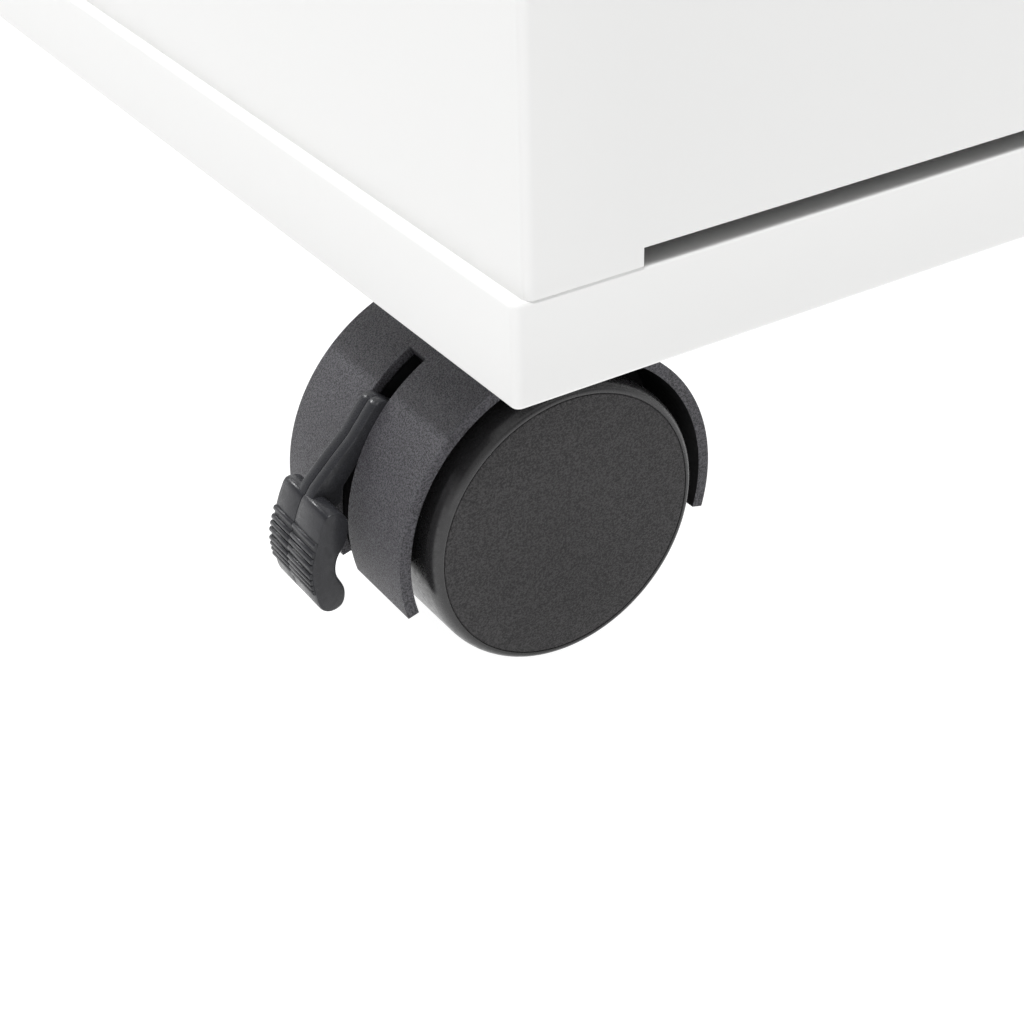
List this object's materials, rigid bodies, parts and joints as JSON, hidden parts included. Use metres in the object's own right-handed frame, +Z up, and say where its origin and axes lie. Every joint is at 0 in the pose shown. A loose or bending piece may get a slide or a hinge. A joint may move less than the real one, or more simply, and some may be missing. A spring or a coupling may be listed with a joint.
{
  "type": "mobile filing cabinet",
  "caption": "Steel pedestal filing cabinet with recessed pulls, a bar lock, a raised base rim and braked twin-wheel swivel casters.",
  "frame": {"origin": "on the floor, under the middle of the cabinet", "axes": "+Z up, -Y out of the drawer fronts, +X to the right of someone facing the drawer fronts"},
  "size_m": [0.4248, 0.5, 0.6],
  "materials": {
    "white_paint": "fine satin powder coat",
    "box_paint": "satin powder coat",
    "frame_paint": "satin powder coat",
    "slide_zinc": "bright zinc",
    "pull_plastic": "fine moulded grain",
    "lock_chrome": "polished",
    "plated_steel": "zinc plated",
    "caster_nylon": "coarse moulded grain",
    "wheel_nylon": "grained disc, smooth tread",
    "lever_nylon": "smooth with ribs"
  },
  "bodies": {
    "cabinet": {"base_pan": "white_paint", "top_cap": "white_paint", "base_channel_front": "frame_paint", "base_channel_rear": "frame_paint", "body_shell": "white_paint", "front_rail": "white_paint", "upright_front_left": "frame_paint", "upright_front_right": "frame_paint", "upright_rear_left": "frame_paint", "upright_rear_right": "frame_paint", "lock_sleeve": "lock_chrome", "caster_stems": "plated_steel", "caster_nuts": "plated_steel", "upper_cabinet_slide_left": "slide_zinc", "upper_cabinet_slide_right": "slide_zinc", "middle_cabinet_slide_left": "slide_zinc", "middle_cabinet_slide_right": "slide_zinc", "file_cabinet_slide_left": "slide_zinc", "file_cabinet_slide_right": "slide_zinc"},
    "upper_drawer": {"upper_drawer_front": "white_paint", "upper_drawer_box": "box_paint", "upper_drawer_pull": "pull_plastic", "upper_drawer_slide_left": "slide_zinc", "upper_drawer_slide_right": "slide_zinc"},
    "middle_drawer": {"middle_drawer_front": "white_paint", "middle_drawer_box": "box_paint", "middle_drawer_pull": "pull_plastic", "middle_drawer_slide_left": "slide_zinc", "middle_drawer_slide_right": "slide_zinc"},
    "file_drawer": {"file_drawer_front": "white_paint", "file_drawer_box": "box_paint", "file_drawer_pull": "pull_plastic", "file_drawer_slide_left": "slide_zinc", "file_drawer_slide_right": "slide_zinc"},
    "file_middle_slides": {"file_middle_slide_left": "slide_zinc", "file_middle_slide_right": "slide_zinc"},
    "lock_barrel": {"lock_cylinder": "lock_chrome", "lock_cam": "plated_steel"},
    "lock_bar": {"lock_bar": "plated_steel"},
    "front_left_caster": {"front_left_caster_housing": "caster_nylon", "front_left_caster_axle": "plated_steel"},
    "front_left_outer_wheel": {"front_left_wheel_outer": "wheel_nylon"},
    "front_left_inner_wheel": {"front_left_wheel_inner": "wheel_nylon"},
    "front_left_brake": {"front_left_brake_lever": "lever_nylon"},
    "front_right_caster": {"front_right_caster_housing": "caster_nylon", "front_right_caster_axle": "plated_steel"},
    "front_right_outer_wheel": {"front_right_wheel_outer": "wheel_nylon"},
    "front_right_inner_wheel": {"front_right_wheel_inner": "wheel_nylon"},
    "front_right_brake": {"front_right_brake_lever": "lever_nylon"},
    "rear_left_caster": {"rear_left_caster_housing": "caster_nylon", "rear_left_caster_axle": "plated_steel"},
    "rear_left_outer_wheel": {"rear_left_wheel_outer": "wheel_nylon"},
    "rear_left_inner_wheel": {"rear_left_wheel_inner": "wheel_nylon"},
    "rear_left_brake": {"rear_left_brake_lever": "lever_nylon"},
    "rear_right_caster": {"rear_right_caster_housing": "caster_nylon", "rear_right_caster_axle": "plated_steel"},
    "rear_right_outer_wheel": {"rear_right_wheel_outer": "wheel_nylon"},
    "rear_right_inner_wheel": {"rear_right_wheel_inner": "wheel_nylon"},
    "rear_right_brake": {"rear_right_brake_lever": "lever_nylon"}
  },
  "joints": [
    {"name": "upper_drawer_slide", "type": "slide", "parent": "cabinet", "child": "upper_drawer", "axis": [0, -1, 0], "range_m": [0, 0.34]},
    {"name": "middle_drawer_slide", "type": "slide", "parent": "cabinet", "child": "middle_drawer", "axis": [0, -1, 0], "range_m": [0, 0.34]},
    {"name": "file_drawer_slide", "type": "slide", "parent": "cabinet", "child": "file_drawer", "axis": [0, -1, 0], "range_m": [0, 0.44]},
    {"name": "file_middle_slides_slide", "type": "slide", "parent": "cabinet", "child": "file_middle_slides", "axis": [0, -1, 0], "range_m": [0, 0.22]},
    {"name": "lock_turn", "type": "hinge", "parent": "cabinet", "child": "lock_barrel", "pos_m": [0.15, -0.2485, 0.5698], "axis": [0, -1, 0], "range_deg": [0, 90]},
    {"name": "lock_bar_lift", "type": "slide", "parent": "cabinet", "child": "lock_bar", "axis": [0, 0, 1], "range_m": [0, 0.01131]},
    {"name": "front_left_swivel", "type": "hinge", "parent": "cabinet", "child": "front_left_caster", "pos_m": [-0.1541, -0.2085, 0.045], "axis": [0, 0, 1], "continuous": true},
    {"name": "front_left_outer_wheel_roll", "type": "hinge", "parent": "front_left_caster", "child": "front_left_outer_wheel", "pos_m": [-0.1725, -0.2085, 0.025], "axis": [0, 1, 0], "continuous": true},
    {"name": "front_left_inner_wheel_roll", "type": "hinge", "parent": "front_left_caster", "child": "front_left_inner_wheel", "pos_m": [-0.1725, -0.2085, 0.025], "axis": [0, 1, 0], "continuous": true},
    {"name": "front_left_brake_release", "type": "hinge", "parent": "front_left_caster", "child": "front_left_brake", "pos_m": [-0.1875, -0.2085, 0.037], "axis": [0, 1, 0], "range_deg": [0, 28]},
    {"name": "front_right_swivel", "type": "hinge", "parent": "cabinet", "child": "front_right_caster", "pos_m": [0.1541, -0.2085, 0.045], "axis": [0, 0, 1], "continuous": true},
    {"name": "front_right_outer_wheel_roll", "type": "hinge", "parent": "front_right_caster", "child": "front_right_outer_wheel", "pos_m": [0.1725, -0.2085, 0.025], "axis": [0, 1, 0], "continuous": true},
    {"name": "front_right_inner_wheel_roll", "type": "hinge", "parent": "front_right_caster", "child": "front_right_inner_wheel", "pos_m": [0.1725, -0.2085, 0.025], "axis": [0, 1, 0], "continuous": true},
    {"name": "front_right_brake_release", "type": "hinge", "parent": "front_right_caster", "child": "front_right_brake", "pos_m": [0.1875, -0.2085, 0.037], "axis": [0, -1, 0], "range_deg": [0, 28]},
    {"name": "rear_left_swivel", "type": "hinge", "parent": "cabinet", "child": "rear_left_caster", "pos_m": [-0.1541, 0.2085, 0.045], "axis": [0, 0, 1], "continuous": true},
    {"name": "rear_left_outer_wheel_roll", "type": "hinge", "parent": "rear_left_caster", "child": "rear_left_outer_wheel", "pos_m": [-0.1725, 0.2085, 0.025], "axis": [0, 1, 0], "continuous": true},
    {"name": "rear_left_inner_wheel_roll", "type": "hinge", "parent": "rear_left_caster", "child": "rear_left_inner_wheel", "pos_m": [-0.1725, 0.2085, 0.025], "axis": [0, 1, 0], "continuous": true},
    {"name": "rear_left_brake_release", "type": "hinge", "parent": "rear_left_caster", "child": "rear_left_brake", "pos_m": [-0.1875, 0.2085, 0.037], "axis": [0, 1, 0], "range_deg": [0, 28]},
    {"name": "rear_right_swivel", "type": "hinge", "parent": "cabinet", "child": "rear_right_caster", "pos_m": [0.1541, 0.2085, 0.045], "axis": [0, 0, 1], "continuous": true},
    {"name": "rear_right_outer_wheel_roll", "type": "hinge", "parent": "rear_right_caster", "child": "rear_right_outer_wheel", "pos_m": [0.1725, 0.2085, 0.025], "axis": [0, 1, 0], "continuous": true},
    {"name": "rear_right_inner_wheel_roll", "type": "hinge", "parent": "rear_right_caster", "child": "rear_right_inner_wheel", "pos_m": [0.1725, 0.2085, 0.025], "axis": [0, 1, 0], "continuous": true},
    {"name": "rear_right_brake_release", "type": "hinge", "parent": "rear_right_caster", "child": "rear_right_brake", "pos_m": [0.1875, 0.2085, 0.037], "axis": [0, -1, 0], "range_deg": [0, 28]}
  ],
  "couplings": [
    {"joint": "file_middle_slides_slide", "follows": "file_drawer_slide", "ratio": 0.5},
    {"joint": "lock_turn", "follows": "lock_bar_lift", "rad_per_m": 138.84}
  ]
}
